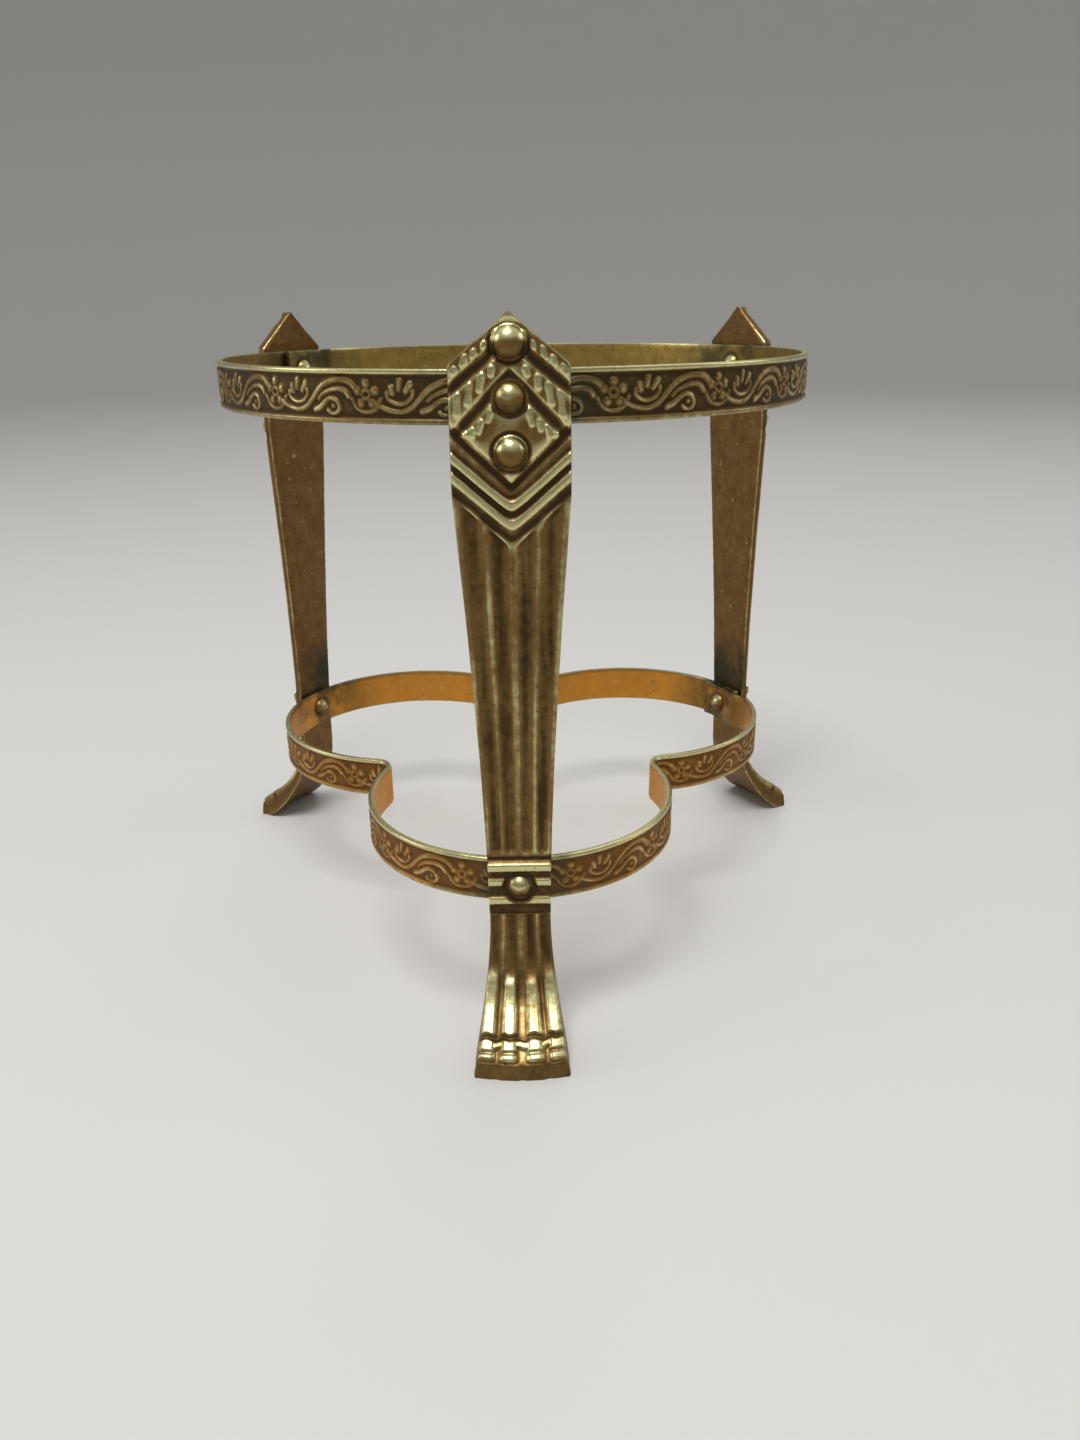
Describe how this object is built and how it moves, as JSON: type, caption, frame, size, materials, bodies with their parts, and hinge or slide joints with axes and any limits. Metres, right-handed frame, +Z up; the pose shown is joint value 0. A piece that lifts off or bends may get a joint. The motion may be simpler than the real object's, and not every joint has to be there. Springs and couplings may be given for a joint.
{
  "type": "spirit burner stand",
  "caption": "Riveted antique brass tripod stand with a round upper band for a dish, a lobed lower band for a spirit burner, fluted legs and paw feet.",
  "frame": {"origin": "centre of the footprint's bounding box, on the floor; the stand's own axis is 11.5 mm behind it", "axes": "+Z up along the legs, +X to the right along the longest width, the front leg towards -Y"},
  "size_m": [0.1702, 0.1618, 0.15],
  "materials": {
    "leg_brass": "cast brass, browned in the hollows and worn bright on the high spots",
    "band_brass": "embossed strip, golden brown with dark specks and bright worn edges",
    "rivet_brass": "domed heads, worn bright"
  },
  "bodies": {
    "root": {"leg_front": "leg_brass", "leg_rear_left": "leg_brass", "leg_rear_right": "leg_brass", "upper_band": "band_brass", "lower_band": "band_brass", "upper_rivet_front": "rivet_brass", "upper_rivet_rear_left": "rivet_brass", "upper_rivet_rear_right": "rivet_brass", "lower_rivet_front": "rivet_brass", "lower_rivet_rear_left": "rivet_brass", "lower_rivet_rear_right": "rivet_brass"}
  },
  "joints": []
}
